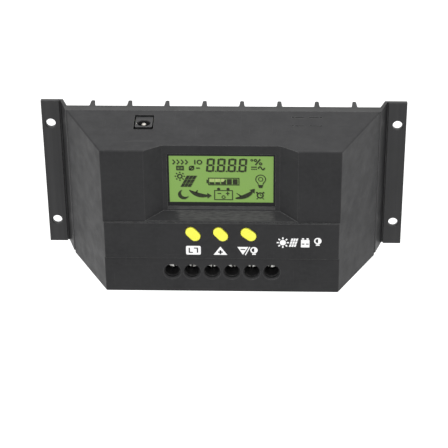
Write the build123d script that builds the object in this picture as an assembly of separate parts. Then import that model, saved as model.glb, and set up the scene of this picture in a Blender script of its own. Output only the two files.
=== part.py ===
from build123d import *
import os

# Wall-mounted solar charge controller: finned heat sink, plastic cover, display, buttons and terminals.
# Millimetres. X to the right, Y into the wall, Z up.
# Origin: centre of the four wall holes, on the wall plane.

# ---------------------------------------------------------------- driving dimensions
WIDTH = 188.0                 # over the two ears
SINK_HEIGHT = 84.0            # length of the extrusion
FRONT_Y = -48.0               # front plane of the cover
STRIP_RISE = 0.8              # how far the button strip stands proud

# heat sink
EAR_THICKNESS = 2.2
EAR_INNER_X = 82.7
WEB_FOOT_X = 80.0
WEB_FRONT_X = 83.9
GROOVE_X = 84.6                # outer side of the groove along each ear's root
GROOVE_FLOOR_Y = -1.1
PLATE_REAR_Y = -7.0
PLATE_FRONT_Y = -12.0
PLATE_HALF_WIDTH = 79.9
PLATE_CORNER = 0.3
FIN_PITCH = 19.1
FIN_PAIRS = 4
FIN_TIP_Y = -1.0
FIN_ROOT_WIDTH = 2.8
FIN_TIP_WIDTH = 2.0
FIN_FOOT = 0.4                # small slope where a fin meets the plate
OVERLAP = 0.2
TAPPED_FLOOR = 1.2            # metal left behind a blind tapped hole
WALL_HOLE_X = 89.5
WALL_HOLE_Z = 29.0
WALL_HOLE_R = 2.5
WALL_HOLE_CHAMFER = 0.4

# cover
COVER_REAR_X = 79.6
COVER_FRONT_X = 59.6
COVER_TOP_REAR_Z = 42.0
COVER_TOP_FRONT_Z = 38.1
COVER_BOTTOM_Z = -44.0
WALL = 2.2
FRONT_WALL = 2.4
COVER_EDGE_R = 0.8
STRIP_CHAMFER = 0.25
STRIP_Z = (-23.6, -2.4)
COVER_SCREW_X = 72.0
COVER_SCREW_Z = 36.0
COVER_BOSS_R = 3.5
COVER_SCREW_REACH = 8.0

# display recess and window
RECESS_DEPTH = 5.0
RECESS_FRONT_X = 38.3
RECESS_FLOOR_X = 29.2
LEDGE_FLOOR_Z = 1.5
LEDGE_FRONT_Z = -1.8
WINDOW_X = 26.9
WINDOW_Z = (3.7, 33.8)
WINDOW_LIP = 1.0
SILL_FALL = 1.4               # the slanted sill under the window
GLASS_X = 28.0
GLASS_Z = (1.5, 34.9)
GLASS_FIT = 0.2
GLASS_PLATE = 1.0
FILM = 0.2
GUIDE_THICKNESS = 2.4
LAMP_ZS = (11.0, 19.0, 27.0)
LAMP_HALF = 1.4
HOLDER_X = 31.0
HOLDER_Z = (0.2, 36.2)
HOLDER_PIN_Z = -0.7           # lower edge of the cell's comb of pins
PIN_PITCH = 2.54

# buttons: centre x, and the slant of the long axis in degrees
BUTTONS = {"menu": (-14.36, -48.0), "up": (-0.42, -48.0), "down": (13.66, -38.0)}
BUTTON_Z = -8.9
BUTTON_LENGTH = 8.6
BUTTON_WIDTH = 5.4
BUTTON_GAP = 0.4
BUTTON_PROUD = 0.7
BUTTON_TRAVEL = 0.5
BUTTON_FLANGE = 1.0
BUTTON_RIM = 0.8              # how far the flange reaches past the cap
BUTTON_FIT = 0.15
STEM_R = 1.6
PLUNGER_R = 1.75
PLUNGER_TIP_Y = -43.2
SWITCH_HALF = 3.0
SWITCH_HEIGHT = 3.5
SWITCH_WELL = 1.5

# terminals
POLES = 6
POLE_PITCH = 10.16
POLE_Z = -31.9
ACCESS_R = 3.9
ACCESS_CHAMFER = 0.7
SCREW_HEAD_Y = -38.5
SCREW_HEAD_R = 3.3
SCREW_HEAD_HEIGHT = 3.0
SCREW_DISH_R = 2.9
SCREW_DISH_FLOOR_R = 0.2
SCREW_DISH_DEPTH = 0.9
SCREW_SLOT = (0.9, 1.4)       # width and depth
SCREW_TURNS = [72.0, 101.0, 90.0, 82.0, 95.0, 110.0]   # where each slot came to rest, in degrees
SCREW_R = 2.0
SCREW_TIP_Y = -26.8
CAGE_WIDTH = 8.2
CAGE_WALL = 1.0
CAGE_Y = (-28.5, -17.8)
CAGE_Z = (-35.6, -28.2)
CAGE_NUT = 2.0
CAGE_FLOOR = 1.2
CONTACT_Y = (-26.2, -25.2)
CONTACT_HALF = 2.7
TAIL_HALF = 1.2
BLOCK_Z = (-41.6, -25.0)
BLOCK_FRONT_Y = -45.5
ENTRY_Y = (-25.4, -18.8)
ENTRY_WIDTH = 6.4
ENTRY_MARGIN = 0.6
CHAMBER_FRONT_Y = -34.3
LEG_Z = (-27.3, -26.3)        # each contact's leg

# circuit boards
BOARD = 1.6
MAIN_FRONT_Y = -17.0
MAIN_X = 54.0
MAIN_Z = (-41.0, 38.6)
MAIN_SCREWS = [(x, z) for x in (-49.0, 49.0) for z in (-36.0, 33.5)]
DISPLAY_FRONT_Y = -36.0
DISPLAY_X = 47.0
DISPLAY_Z = (-17.0, 36.0)
DISPLAY_SCREWS = [(x, z) for x in (-43.0, 43.0) for z in (-12.0, 31.0)]
DISPLAY_BOSS_R = 3.0
DISPLAY_SCREW_REACH = 5.0
SCREW_CLEARANCE = 0.05

# power transistors, four on each side
TRANSISTOR_Z = (-24.0, -8.0, 8.0, 24.0)
TRANSISTOR_INNER_X = 57.5
TRANSISTOR_WIDTH = 10.2
LEAD_INNER_X = 51.5
LEAD_PITCH = 2.54
LEAD_HALF = 0.4
TAB_LENGTH = 15.5
TAB_THICKNESS = 1.3
PACKAGE_LENGTH = 9.2
PACKAGE_HEIGHT = 4.5
PAD_THICKNESS = 0.2
TAB_HOLE_X = 70.0
TAB_HOLE_R = 1.8

# DC jack, blanked port
JACK_X = -39.3
JACK_AXIS_Y = -23.4
JACK_HALF_WIDTH = 4.3
JACK_Y = (-27.7, -17.0)
JACK_Z = (27.0, 40.8)
JACK_BORE_R = 3.15
JACK_BORE_DEPTH = 9.5
JACK_PIN_R = 1.25
JACK_FLANGE = 3.4
JACK_OPENING_X = (-44.25, -34.45)
JACK_OPENING_Y = (-29.1, -16.2)
LEAF_HALF = 0.9
LEAF_THICKNESS = 0.35
LEAF_SET_BACK = 0.3           # the leaf's flat part, from the wall of the socket
LEAF_FOOT_Z = (30.4, 31.6)
PORT_X = (35.4, 49.6)
PORT_Y = (-25.2, -17.6)
PORT_GROOVE = 0.6
PORT_DASH = (0.15, 0.86)      # ends of each dash, as shares of the half width
PORT_DOT_R = 0.55
PORT_DEPTH = 0.6

# parts on the main board: centres are (x, z)
CAN_XS = (-18.0, 0.0, 18.0)
CAN_Z = 18.0
CAN_R = 6.25
CAN_LENGTH = 15.0
CAN_FOOT_R = 4.5
CAN_FOOT = 0.6
CAN_GROOVE = (1.8, 2.6)
CHOKE_AT = (38.0, 8.0)
CHOKE_R = 6.5
CHOKE_SECTION_R = 3.2
CHOKE_BORE_R = 3.0
CHOKE_LIFT = 4.0
CHOKE_BASE = 2.0
SHUNT_X = 40.0
SHUNT_Z = (-20.0, -17.0)
SHUNT_HALF = 6.0
SHUNT_HEIGHT = 4.0
SHUNT_STRAP = 1.2
CHIP_AT = (-36.0, 6.0)
CHIP_HALF = 5.0
CHIP_HEIGHT = 1.6
CHIP_LEADS = 11
CHIP_PITCH = 0.8
BUZZER_AT = (38.0, 27.0)
BUZZER_R = 6.0
BUZZER_HEIGHT = 9.5
SENSOR_AT = (60.0, 36.0)
SENSOR_R = 2.0
SENSOR_LEAD = 8.0
HEADER_PINS = 10
HEADER_Z = -11.0
HEADER_HALF = 1.25
HEADER_BAR = 2.5
HEADER_SOCKET = 8.5
HEADER_POST_HALF = 0.32

TAPPING_R = 1.25
THREAD_R = 1.2
THROUGH_R = 1.6
CROSS_HALF = 0.35             # half width of a cross recess
BIG = 200.0

half_height = SINK_HEIGHT / 2
side_slope = (COVER_REAR_X - COVER_FRONT_X) / (PLATE_FRONT_Y - FRONT_Y)
top_slope = (COVER_TOP_REAR_Z - COVER_TOP_FRONT_Z) / (PLATE_FRONT_Y - FRONT_Y)
recess_floor_y = FRONT_Y + RECESS_DEPTH
strip_y = FRONT_Y - STRIP_RISE
inner_front_y = FRONT_Y + FRONT_WALL
glass_y = recess_floor_y + WINDOW_LIP
guide_y = glass_y + FILM + 2 * GLASS_PLATE
pole_xs = [(i - (POLES - 1) / 2) * POLE_PITCH for i in range(POLES)]


# ---------------------------------------------------------------- helpers
def block(x, y, z):
    """A box from its low and high values on each axis."""
    centre = Pos((x[0] + x[1]) / 2, (y[0] + y[1]) / 2, (z[0] + z[1]) / 2)
    return centre * Box(x[1] - x[0], y[1] - y[0], z[1] - z[0])


def rod(x, z, radius, y):
    """A cylinder along Y, from y[0] to y[1]."""
    return Pos(x, (y[0] + y[1]) / 2, z) * Rot(90, 0, 0) * Cylinder(radius, y[1] - y[0])


def upright(x, y, radius, z):
    """A cylinder along Z, from z[0] to z[1]."""
    return Pos(x, y, (z[0] + z[1]) / 2) * Cylinder(radius, z[1] - z[0])


def prism_z(points, z):
    """An outline in X and Y, run along Z."""
    face = Plane.XY.offset(z[0]) * Polygon(*points, align=None)
    return extrude(face, amount=z[1] - z[0], dir=(0, 0, 1))


def prism_x(points, x):
    """An outline in Y and Z, run along X."""
    face = Plane.YZ.offset(x[0]) * Polygon(*points, align=None)
    return extrude(face, amount=x[1] - x[0], dir=(1, 0, 0))


def oblong(x, z, length, width, slant, y):
    """A slot-shaped bar along Y, its long axis turned by slant degrees."""
    plane = Plane(origin=(x, y[0], z), x_dir=(1, 0, 0), z_dir=(0, -1, 0))
    face = plane * Rot(0, 0, slant) * SlotOverall(length, width)
    return extrude(face, amount=y[1] - y[0], dir=(0, 1, 0))


def mirrored(points):
    """An outline's right half, followed by its mirror image on the left."""
    return points + [(-x, y) for x, y in reversed(points)]


def fuse(pieces):
    """One shape from several that touch or overlap."""
    first, *rest = pieces
    for piece in rest:
        first = first + piece
    return first


def cut(body, tools):
    """The body less each of the tools."""
    for tool in tools:
        body = body - tool
    return body


def group(pieces):
    """Separate solids kept in one node."""
    return Compound(children=[solid for piece in pieces for solid in piece.solids()])


# ---------------------------------------------------------------- heat sink
def heatsink():
    """Extrusion with eight fins, slanted webs and two ears, drilled for the wall and for its screws."""
    ear_x = WIDTH / 2
    right_half = [
        (0, PLATE_REAR_Y),
        (WEB_FOOT_X, PLATE_REAR_Y),
        (EAR_INNER_X, 0),
        (ear_x, 0),
        (ear_x, -EAR_THICKNESS),
        (GROOVE_X, -EAR_THICKNESS),
        (GROOVE_X, GROOVE_FLOOR_Y),
        (WEB_FRONT_X, GROOVE_FLOOR_Y),
        (PLATE_HALF_WIDTH + PLATE_CORNER, PLATE_FRONT_Y + PLATE_CORNER),
        (PLATE_HALF_WIDTH, PLATE_FRONT_Y),
        (0, PLATE_FRONT_Y),
    ]
    height = (-half_height, half_height)
    half = prism_z(right_half, height)
    body = half + mirror(half, about=Plane.YZ)
    root = FIN_ROOT_WIDTH / 2
    tip = FIN_TIP_WIDTH / 2
    foot = root + FIN_FOOT
    for i in range(FIN_PAIRS):
        for side in (-1, 1):
            x = side * (i + 0.5) * FIN_PITCH
            outline = [
                (x - foot, PLATE_REAR_Y - OVERLAP),
                (x - foot, PLATE_REAR_Y),
                (x - root, PLATE_REAR_Y + FIN_FOOT),
                (x - tip, FIN_TIP_Y - tip),
                (x + tip, FIN_TIP_Y - tip),
                (x + root, PLATE_REAR_Y + FIN_FOOT),
                (x + foot, PLATE_REAR_Y),
                (x + foot, PLATE_REAR_Y - OVERLAP),
            ]
            body = body + prism_z(outline, height) + upright(x, FIN_TIP_Y - tip, tip, height)
    ear = (-EAR_THICKNESS - 1, 1)
    wall_spots = [(x, z) for x in (-WALL_HOLE_X, WALL_HOLE_X) for z in (-WALL_HOLE_Z, WALL_HOLE_Z)]
    holes = [rod(x, z, WALL_HOLE_R, ear) for x, z in wall_spots]
    rim = Rot(90, 0, 0) * Cone(WALL_HOLE_R, WALL_HOLE_R + WALL_HOLE_CHAMFER, WALL_HOLE_CHAMFER)
    holes += [Pos(x, WALL_HOLE_CHAMFER / 2 - EAR_THICKNESS, z) * rim for x, z in wall_spots]
    plate = (PLATE_FRONT_Y - 1, PLATE_REAR_Y + 1)
    holes += [rod(x, z, THROUGH_R, plate) for x, z in cover_screw_spots()]
    tapped = (PLATE_FRONT_Y - 1, PLATE_REAR_Y - TAPPED_FLOOR)
    holes += [rod(x, z, TAPPING_R, tapped) for x, z in MAIN_SCREWS]
    holes += [rod(side * TAB_HOLE_X, z, TAPPING_R, tapped) for side in (-1, 1) for z in TRANSISTOR_Z]
    return cut(body, holes)


def cover_screw_spots():
    return [(x, z) for x in (-COVER_SCREW_X, COVER_SCREW_X) for z in (-COVER_SCREW_Z, COVER_SCREW_Z)]


# ---------------------------------------------------------------- front cover
def cover_outline(inset, front_y):
    """Right half of the cover's section across Z, moved in by inset."""
    front_x = COVER_REAR_X - inset - (PLATE_FRONT_Y - front_y) * side_slope
    return [(COVER_REAR_X - inset, PLATE_FRONT_Y), (front_x, front_y)]


def cover_side(inset, front_y):
    """The cover's section across X, moved in by inset at the top and the bottom."""
    top_front = COVER_TOP_REAR_Z - inset - (PLATE_FRONT_Y - front_y) * top_slope
    return [
        (PLATE_FRONT_Y, COVER_BOTTOM_Z + inset),
        (PLATE_FRONT_Y, COVER_TOP_REAR_Z - inset),
        (front_y, top_front),
        (front_y, COVER_BOTTOM_Z + inset),
    ]


def tapered_block(inset, front_y):
    outline = prism_z(mirrored(cover_outline(inset, front_y)), (-BIG, BIG))
    return outline & prism_x(cover_side(inset, front_y), (-BIG, BIG))


def recess(grow):
    """The display recess: slanted cheeks and a sloping ledge, open at the top. Grown by grow on each side."""
    floor_y = recess_floor_y + grow
    out = FRONT_Y - 2.0
    spread = (RECESS_FRONT_X - RECESS_FLOOR_X) / RECESS_DEPTH
    fall = (LEDGE_FLOOR_Z - LEDGE_FRONT_Z) / RECESS_DEPTH
    floor_x = RECESS_FLOOR_X + grow
    cheeks = mirrored([(floor_x, floor_y), (floor_x + spread * (floor_y - out), out)])
    ledge_z = LEDGE_FLOOR_Z - grow
    side = [(floor_y, ledge_z), (floor_y, BIG), (out, BIG), (out, ledge_z - fall * (floor_y - out))]
    return prism_z(cheeks, (-BIG, BIG)) & prism_x(side, (-BIG, BIG))


def port_marks():
    """Grooves and corner dots that mark out the blanked port in the top face."""
    face = Plane(origin=(0, PLATE_FRONT_Y, COVER_TOP_REAR_Z), x_dir=(1, 0, 0), z_dir=(0, -top_slope, 1))
    middle = (PORT_X[0] + PORT_X[1]) / 2
    reach = (PORT_X[1] - PORT_X[0]) / 2
    marks = []
    for y in PORT_Y:
        for side in (-1, 1):
            start = middle + side * reach * PORT_DASH[0]
            end = middle + side * reach * PORT_DASH[1]
            groove = Box(abs(end - start), PORT_GROOVE, 2 * PORT_DEPTH)
            dot = Cylinder(PORT_DOT_R, 2 * PORT_DEPTH)
            marks.append(face * Pos((start + end) / 2, y - PLATE_FRONT_Y, 0) * groove)
            marks.append(face * Pos(middle + side * reach, y - PLATE_FRONT_Y, 0) * dot)
    return marks


def front_cover():
    """Moulded shell with the recess, window, proud strip, access holes, wire entries, bosses and openings."""
    solid = tapered_block(0, FRONT_Y)
    solid = fillet(solid.edges().filter_by(lambda e: e.center().Y < PLATE_FRONT_Y - 2), COVER_EDGE_R)
    strip = prism_z(mirrored(cover_outline(0, strip_y)), STRIP_Z)
    strip = strip & block((-BIG, BIG), (strip_y - 1, FRONT_Y + 2.0), STRIP_Z)
    corners = strip.edges().filter_by(Axis.Z).filter_by(lambda e: e.center().Y < FRONT_Y)
    strip = fillet(corners, COVER_EDGE_R)
    rims = strip.edges().filter_by(lambda e: e.center().Y < strip_y + 0.01 and e.length > COVER_FRONT_X)
    solid = solid + chamfer(rims, STRIP_CHAMFER)
    solid = solid - recess(0)

    cavity = tapered_block(WALL, inner_front_y) - recess(FRONT_WALL)
    display_boss = (FRONT_Y + 1, DISPLAY_FRONT_Y)
    keep = [rod(x, z, DISPLAY_BOSS_R, display_boss) for x, z in DISPLAY_SCREWS]
    keep += [rod(x, z, COVER_BOSS_R, (FRONT_Y, PLATE_FRONT_Y)) for x, z in cover_screw_spots()]
    cavity = cut(cavity, keep)
    solid = solid - cavity

    rebate_x = GLASS_X + GLASS_FIT
    rebate_z = (GLASS_Z[0] - GLASS_FIT, GLASS_Z[1] + GLASS_FIT)
    sill = [
        (glass_y + OVERLAP, WINDOW_Z[0] + OVERLAP * SILL_FALL),
        (recess_floor_y - OVERLAP, WINDOW_Z[0] - SILL_FALL * (1 + OVERLAP)),
        (recess_floor_y - OVERLAP, WINDOW_Z[0] + 1),
        (glass_y + OVERLAP, WINDOW_Z[0] + 1),
    ]
    tools = [
        block((-WINDOW_X, WINDOW_X), (FRONT_Y, DISPLAY_FRONT_Y), WINDOW_Z),
        block((-rebate_x, rebate_x), (glass_y, DISPLAY_FRONT_Y), rebate_z),
        prism_x(sill, (-WINDOW_X, WINDOW_X)),
        block(JACK_OPENING_X, JACK_OPENING_Y, (COVER_TOP_FRONT_Z - 2 * WALL, COVER_TOP_REAR_Z + 1)),
    ]
    for x, slant in BUTTONS.values():
        size = (BUTTON_LENGTH + 2 * BUTTON_GAP, BUTTON_WIDTH + 2 * BUTTON_GAP)
        tools.append(oblong(x, BUTTON_Z, *size, slant, (strip_y - 1, inner_front_y + 1)))
    for x in pole_xs:
        tools.append(rod(x, POLE_Z, ACCESS_R, (FRONT_Y - 1, inner_front_y + 1)))
        mouth = Cone(ACCESS_R, ACCESS_R + ACCESS_CHAMFER, ACCESS_CHAMFER)
        tools.append(Pos(x, FRONT_Y + ACCESS_CHAMFER / 2, POLE_Z) * Rot(90, 0, 0) * mouth)
        entry_reach = ENTRY_WIDTH / 2 + ENTRY_MARGIN
        entry_y = (ENTRY_Y[0] - ENTRY_MARGIN, ENTRY_Y[1] + ENTRY_MARGIN)
        tools.append(block((x - entry_reach, x + entry_reach), entry_y, (COVER_BOTTOM_Z - 1, BLOCK_Z[0])))
    cover_pilot = (PLATE_FRONT_Y - COVER_SCREW_REACH - 0.5, PLATE_FRONT_Y + 1)
    display_pilot = (DISPLAY_FRONT_Y - DISPLAY_SCREW_REACH - 2, DISPLAY_FRONT_Y + 1)
    tools += [rod(x, z, TAPPING_R, cover_pilot) for x, z in cover_screw_spots()]
    tools += [rod(x, z, TAPPING_R, display_pilot) for x, z in DISPLAY_SCREWS]
    return cut(solid, tools + port_marks())


# ---------------------------------------------------------------- fasteners
def pan_screw(x, z, head_r, head_y, shank_r, tip_y):
    """Screw along Y with a rounded pan head and a cross recess. head_y runs from the seat to the top."""
    seat, top = head_y
    low, high = sorted((seat, top))
    head = rod(x, z, head_r, (low, high))
    crown = head.edges().filter_by(lambda e: abs(e.center().Y - top) < 0.01)
    head = fillet(crown, (high - low) * 0.4)
    inward = 1 if seat > top else -1
    deep = sorted((top - 0.1 * inward, top + 1.0 * inward))
    arm = head_r * 0.55
    cross = [
        block((x - arm, x + arm), deep, (z - CROSS_HALF, z + CROSS_HALF)),
        block((x - CROSS_HALF, x + CROSS_HALF), deep, (z - arm, z + arm)),
    ]
    shank = rod(x, z, shank_r, tuple(sorted((seat, tip_y))))
    return cut(head + shank, cross)


def cover_screws():
    """Four self-tapping screws, driven from behind through the plate into the cover's bosses."""
    return group(
        pan_screw(x, z, 2.9, (PLATE_REAR_Y, PLATE_REAR_Y + 2.0), THREAD_R, PLATE_FRONT_Y - COVER_SCREW_REACH)
        for x, z in cover_screw_spots()
    )


def pcb_screws():
    return group(
        pan_screw(x, z, 2.7, (MAIN_FRONT_Y, MAIN_FRONT_Y - 1.8), THREAD_R, PLATE_REAR_Y - 1.6)
        for x, z in MAIN_SCREWS
    )


def pcb_spacers():
    """Brass spacers between the plate and the main board."""
    span = (MAIN_FRONT_Y + BOARD, PLATE_FRONT_Y)
    return group(
        extrude(
            Plane(origin=(x, span[0], z), z_dir=(0, 1, 0)) * (RegularPolygon(3.0, 6) - Circle(THROUGH_R)),
            amount=span[1] - span[0],
            dir=(0, 1, 0),
        )
        for x, z in MAIN_SCREWS
    )


def display_pcb_screws():
    rear = DISPLAY_FRONT_Y + BOARD
    return group(
        pan_screw(x, z, 2.5, (rear, rear + 1.6), THREAD_R, DISPLAY_FRONT_Y - DISPLAY_SCREW_REACH)
        for x, z in DISPLAY_SCREWS
    )


# ---------------------------------------------------------------- circuit boards and what is on them
def main_pcb():
    board = block((-MAIN_X, MAIN_X), (MAIN_FRONT_Y, MAIN_FRONT_Y + BOARD), MAIN_Z)
    holes = [rod(x, z, THROUGH_R, (MAIN_FRONT_Y - 1, PLATE_FRONT_Y)) for x, z in MAIN_SCREWS]
    reach = TAIL_HALF + 0.2
    slot_z = (LEG_Z[0] - 0.1, LEG_Z[1] + 0.1)
    for x in pole_xs:
        holes.append(block((x - reach, x + reach), (MAIN_FRONT_Y - 1, PLATE_FRONT_Y), slot_z))
    return cut(board, holes)


def display_pcb():
    board = block((-DISPLAY_X, DISPLAY_X), (DISPLAY_FRONT_Y, DISPLAY_FRONT_Y + BOARD), DISPLAY_Z)
    through = (DISPLAY_FRONT_Y - 1, DISPLAY_FRONT_Y + BOARD + 1)
    return cut(board, [rod(x, z, THROUGH_R, through) for x, z in DISPLAY_SCREWS])


def link_header():
    """Pin header that joins the two boards: a plastic bar, a socket and ten pins."""
    rear_y = DISPLAY_FRONT_Y + BOARD
    half = HEADER_PINS * PIN_PITCH / 2
    high = (HEADER_Z - HEADER_HALF, HEADER_Z + HEADER_HALF)
    bar = block((-half, half), (MAIN_FRONT_Y - HEADER_BAR, MAIN_FRONT_Y), high)
    socket = block((-half, half), (rear_y, rear_y + HEADER_SOCKET), high)
    post_y = (rear_y + HEADER_SOCKET, MAIN_FRONT_Y - HEADER_BAR)
    post_z = (HEADER_Z - HEADER_POST_HALF, HEADER_Z + HEADER_POST_HALF)
    posts = []
    for i in range(HEADER_PINS):
        x = (i - (HEADER_PINS - 1) / 2) * PIN_PITCH
        posts.append(block((x - HEADER_POST_HALF, x + HEADER_POST_HALF), post_y, post_z))
    return fuse([bar, socket] + posts)


def capacitors():
    """Three electrolytic cans standing on the main board, each with a crimp groove and a rubber foot."""
    foot_y = MAIN_FRONT_Y - CAN_FOOT
    cans = []
    for x in CAN_XS:
        can = rod(x, CAN_Z, CAN_R, (foot_y - CAN_LENGTH, foot_y))
        top = can.edges().filter_by(lambda e: e.center().Y < foot_y - CAN_LENGTH + 0.1)
        can = fillet(top, 0.8)
        ring = rod(x, CAN_Z, CAN_R + 1, (foot_y - CAN_GROOVE[1], foot_y - CAN_GROOVE[0]))
        groove = ring - rod(x, CAN_Z, CAN_R - 0.45, (foot_y - CAN_LENGTH, foot_y))
        cans.append(can - groove + rod(x, CAN_Z, CAN_FOOT_R, (foot_y, MAIN_FRONT_Y)))
    return group(cans)


def choke():
    """Wound ring standing flat on the main board, on a square base."""
    x, z = CHOKE_AT
    reach = CHOKE_R
    ring = Pos(x, MAIN_FRONT_Y - CHOKE_LIFT, z) * Rot(90, 0, 0) * Torus(CHOKE_R, CHOKE_SECTION_R)
    base = block((x - reach, x + reach), (MAIN_FRONT_Y - CHOKE_BASE, MAIN_FRONT_Y), (z - reach, z + reach))
    return ring + base - rod(x, z, CHOKE_BORE_R, (MAIN_FRONT_Y - 3 * CHOKE_LIFT, MAIN_FRONT_Y + 1))


def shunts():
    """Two bent-strap current shunts between the transistors and the terminals."""
    inner = SHUNT_HALF - SHUNT_STRAP
    straps = []
    for x in (-SHUNT_X, SHUNT_X):
        strap = block((x - SHUNT_HALF, x + SHUNT_HALF), (MAIN_FRONT_Y - SHUNT_HEIGHT, MAIN_FRONT_Y), SHUNT_Z)
        under = (MAIN_FRONT_Y - SHUNT_HEIGHT + SHUNT_STRAP, MAIN_FRONT_Y + 1)
        straps.append(strap - block((x - inner, x + inner), under, (SHUNT_Z[0] - 1, SHUNT_Z[1] + 1)))
    return group(straps)


def microcontroller():
    """Flat package with leads on four sides, on the main board."""
    x, z = CHIP_AT
    body_y = (MAIN_FRONT_Y - CHIP_HEIGHT, MAIN_FRONT_Y - 0.1)
    pieces = [block((x - CHIP_HALF, x + CHIP_HALF), body_y, (z - CHIP_HALF, z + CHIP_HALF))]
    lead_y = (MAIN_FRONT_Y - 0.5, MAIN_FRONT_Y)
    reach = CHIP_HALF + 1.0
    half = 0.18
    for i in range(CHIP_LEADS):
        offset = (i - (CHIP_LEADS - 1) / 2) * CHIP_PITCH
        pieces.append(block((x - reach, x + reach), lead_y, (z + offset - half, z + offset + half)))
        pieces.append(block((x + offset - half, x + offset + half), lead_y, (z - reach, z + reach)))
    return fuse(pieces)


def buzzer():
    """Round buzzer with a sound hole in its front."""
    can = rod(*BUZZER_AT, BUZZER_R, (MAIN_FRONT_Y - BUZZER_HEIGHT, MAIN_FRONT_Y))
    return can - rod(*BUZZER_AT, 1.0, (MAIN_FRONT_Y - BUZZER_HEIGHT - 1, MAIN_FRONT_Y - BUZZER_HEIGHT + 3.5))


def temperature_sensor():
    """Bead sensor lying on the plate beside the board, with its flat lead."""
    x, z = SENSOR_AT
    bead = rod(x, z, SENSOR_R, (PLATE_FRONT_Y - 2.5, PLATE_FRONT_Y))
    return bead + block((x - SENSOR_LEAD, x), (PLATE_FRONT_Y - 1.6, PLATE_FRONT_Y - 1.0), (z - 0.6, z + 0.6))


# ---------------------------------------------------------------- power transistors
def transistor_spots():
    return [(side, z) for side in (-1, 1) for z in TRANSISTOR_Z]


def across(side, near, far):
    """Low and high X of a span that starts near the board and runs outwards on one side."""
    return tuple(sorted((side * near, side * far)))


def insulating_pads():
    pads = []
    for side, z in transistor_spots():
        x = across(side, TRANSISTOR_INNER_X - 0.5, TRANSISTOR_INNER_X + TAB_LENGTH + 0.3)
        half = TRANSISTOR_WIDTH / 2 + 0.5
        pad = block(x, (PLATE_FRONT_Y - PAD_THICKNESS, PLATE_FRONT_Y), (z - half, z + half))
        pads.append(pad - rod(side * TAB_HOLE_X, z, TAB_HOLE_R, (PLATE_FRONT_Y - 1, PLATE_FRONT_Y + 1)))
    return group(pads)


def transistor_tabs():
    """Metal tabs, each drilled for its screw."""
    tabs = []
    seat = PLATE_FRONT_Y - PAD_THICKNESS
    half = TRANSISTOR_WIDTH / 2
    for side, z in transistor_spots():
        x = across(side, TRANSISTOR_INNER_X, TRANSISTOR_INNER_X + TAB_LENGTH)
        tab = block(x, (seat - TAB_THICKNESS, seat), (z - half, z + half))
        tabs.append(tab - rod(side * TAB_HOLE_X, z, TAB_HOLE_R, (seat - 3, seat + 1)))
    return group(tabs)


def transistor_packages():
    """Epoxy packages and their leads, which reach in under the edge of the board."""
    packages = []
    seat = PLATE_FRONT_Y - PAD_THICKNESS
    half = TRANSISTOR_WIDTH / 2
    for side, z in transistor_spots():
        x = across(side, TRANSISTOR_INNER_X, TRANSISTOR_INNER_X + PACKAGE_LENGTH)
        package = block(x, (seat - PACKAGE_HEIGHT, seat - TAB_THICKNESS), (z - half, z + half))
        for lead in (-LEAD_PITCH, 0, LEAD_PITCH):
            lead_z = (z + lead - LEAD_HALF, z + lead + LEAD_HALF)
            along_x = across(side, LEAD_INNER_X, TRANSISTOR_INNER_X)
            foot_x = across(side, LEAD_INNER_X, LEAD_INNER_X + 0.6)
            package = package + block(along_x, (seat - 2.9, seat - 2.4), lead_z)
            package = package + block(foot_x, (MAIN_FRONT_Y + BOARD, seat - 2.4), lead_z)
        packages.append(package)
    return group(packages)


def transistor_screws():
    top = PLATE_FRONT_Y - PAD_THICKNESS - TAB_THICKNESS
    return group(
        pan_screw(side * TAB_HOLE_X, z, 2.7, (top, top - 1.8), THREAD_R, PLATE_REAR_Y - 1.6)
        for side, z in transistor_spots()
    )


# ---------------------------------------------------------------- display
def lcd_polariser():
    return block((-GLASS_X, GLASS_X), (glass_y, glass_y + FILM), GLASS_Z)


def lcd_glass():
    """The cell: a front plate and a slightly taller rear plate that carries the contacts."""
    front = glass_y + FILM
    plate = block((-GLASS_X, GLASS_X), (front, front + GLASS_PLATE), GLASS_Z)
    return plate + block((-GLASS_X, GLASS_X), (front + GLASS_PLATE, front + 2 * GLASS_PLATE), GLASS_Z)


def lcd_backlight():
    """Light guide behind the cell, with three lamps along its left edge."""
    guide = block((-GLASS_X, GLASS_X), (guide_y, guide_y + GUIDE_THICKNESS), GLASS_Z)
    lamp_x = (-GLASS_X - 1.0, -GLASS_X)
    lamp_y = (guide_y + 0.4, guide_y + 2.0)
    for z in LAMP_ZS:
        guide = guide + block(lamp_x, lamp_y, (z - LAMP_HALF, z + LAMP_HALF))
    return guide


def lcd_frame():
    """Holder tray behind the light guide, standing on the display board."""
    outer = block((-HOLDER_X, HOLDER_X), (guide_y + 0.2, DISPLAY_FRONT_Y), HOLDER_Z)
    pocket_x = (-GLASS_X - 1.2, GLASS_X + GLASS_FIT)
    pocket_z = (GLASS_Z[0] - GLASS_FIT, GLASS_Z[1] + GLASS_FIT)
    return outer - block(pocket_x, (guide_y - 1, guide_y + GUIDE_THICKNESS), pocket_z)


def lcd_pins():
    """Comb of pins from the cell's lower edge down to the display board."""
    count = 16
    front = recess_floor_y + FRONT_WALL + 0.1
    half = count * PIN_PITCH / 2
    comb = block((-half, half), (front, front + 0.8), (HOLDER_PIN_Z, GLASS_Z[0]))
    pins = []
    for i in range(count):
        x = (i - (count - 1) / 2) * PIN_PITCH
        pins.append(block((x - 0.25, x + 0.25), (front, DISPLAY_FRONT_Y), (HOLDER_PIN_Z, HOLDER_PIN_Z + 0.6)))
    return fuse([comb] + pins)


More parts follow.
